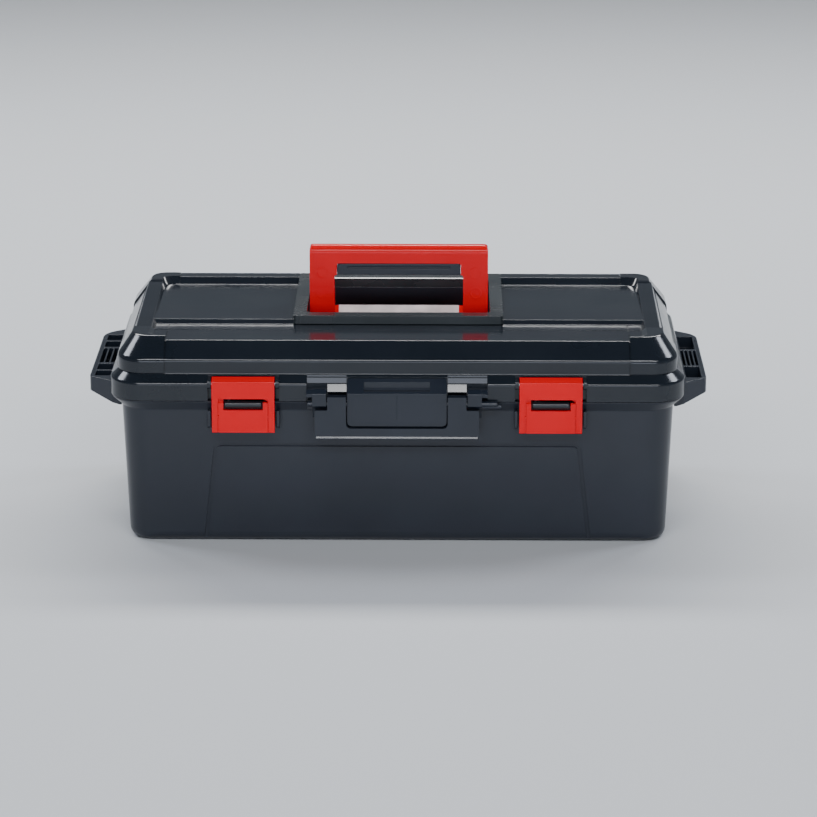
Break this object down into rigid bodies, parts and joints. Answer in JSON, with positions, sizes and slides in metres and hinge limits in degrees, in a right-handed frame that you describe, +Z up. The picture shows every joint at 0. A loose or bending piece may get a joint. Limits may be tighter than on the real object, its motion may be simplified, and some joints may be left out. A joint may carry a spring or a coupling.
{
  "type": "toolbox with tray",
  "caption": "Deep plastic toolbox with hinged lid, folding red top handle in a well, red front latches, swinging front carry handle, end lugs and a lift-out tray.",
  "frame": {"origin": "middle of the flat base", "axes": "+X to the right along the long side, +Y to the hinged back, +Z up"},
  "size_m": [0.5242, 0.262, 0.232],
  "materials": {
    "body_plastic": "black moulded plastic, semi-gloss with a faint grain",
    "lid_plastic": "black moulded plastic, polished",
    "frame_plastic": "black moulded plastic, fine grain",
    "grip_plastic": "dark moulded plastic, satin",
    "red_plastic": "bright red moulded plastic, gloss",
    "label": "blank pale plate",
    "pin_steel": "plain steel pin",
    "tray_plastic": "dark grey moulded plastic, matt"
  },
  "bodies": {
    "root": {"body_shell": "body_plastic", "catch_bar_left": "lid_plastic", "catch_bar_right": "lid_plastic", "front_handle_rod": "lid_plastic"},
    "lid": {"lid_shell": "lid_plastic", "handle_frame": "frame_plastic", "lid_corner_front_left": "lid_plastic", "lid_corner_front_right": "lid_plastic", "lid_corner_rear_left": "lid_plastic", "lid_corner_rear_right": "lid_plastic", "top_handle_pin_left": "pin_steel", "top_handle_pin_right": "pin_steel", "latch_pin_left": "pin_steel", "latch_pin_right": "pin_steel", "hinge_pin_left": "pin_steel", "hinge_pin_right": "pin_steel"},
    "top_handle": {"top_handle": "red_plastic", "top_handle_grip": "grip_plastic", "label_plate": "label"},
    "front_handle": {"front_handle": "body_plastic"},
    "latch_left": {"latch_left": "red_plastic"},
    "latch_right": {"latch_right": "red_plastic"},
    "tray": {"tray": "tray_plastic", "tray_grip": "tray_plastic", "tray_divider_left": "tray_plastic", "tray_divider_right": "tray_plastic"}
  },
  "joints": [
    {"name": "lid_hinge", "type": "hinge", "parent": "root", "child": "lid", "pos_m": [0, 0.1265, 0.127], "axis": [-1, 0, 0], "range_deg": [0, 105]},
    {"name": "top_handle_hinge", "type": "hinge", "parent": "lid", "child": "top_handle", "pos_m": [0, 0, 0.168], "axis": [-1, 0, 0], "range_deg": [0, 90]},
    {"name": "latch_left_hinge", "type": "hinge", "parent": "lid", "child": "latch_left", "pos_m": [-0.1284, -0.1215, 0.1425], "axis": [-1, 0, 0], "range_deg": [0, 95]},
    {"name": "latch_right_hinge", "type": "hinge", "parent": "lid", "child": "latch_right", "pos_m": [0.1284, -0.1215, 0.1425], "axis": [-1, 0, 0], "range_deg": [0, 95]},
    {"name": "front_handle_hinge", "type": "hinge", "parent": "root", "child": "front_handle", "pos_m": [0, -0.1245, 0.1262], "axis": [-1, 0, 0], "range_deg": [0, 90]},
    {"name": "tray_lift", "type": "slide", "parent": "root", "child": "tray", "axis": [0, 0, 1], "range_m": [0, 0.018]}
  ]
}
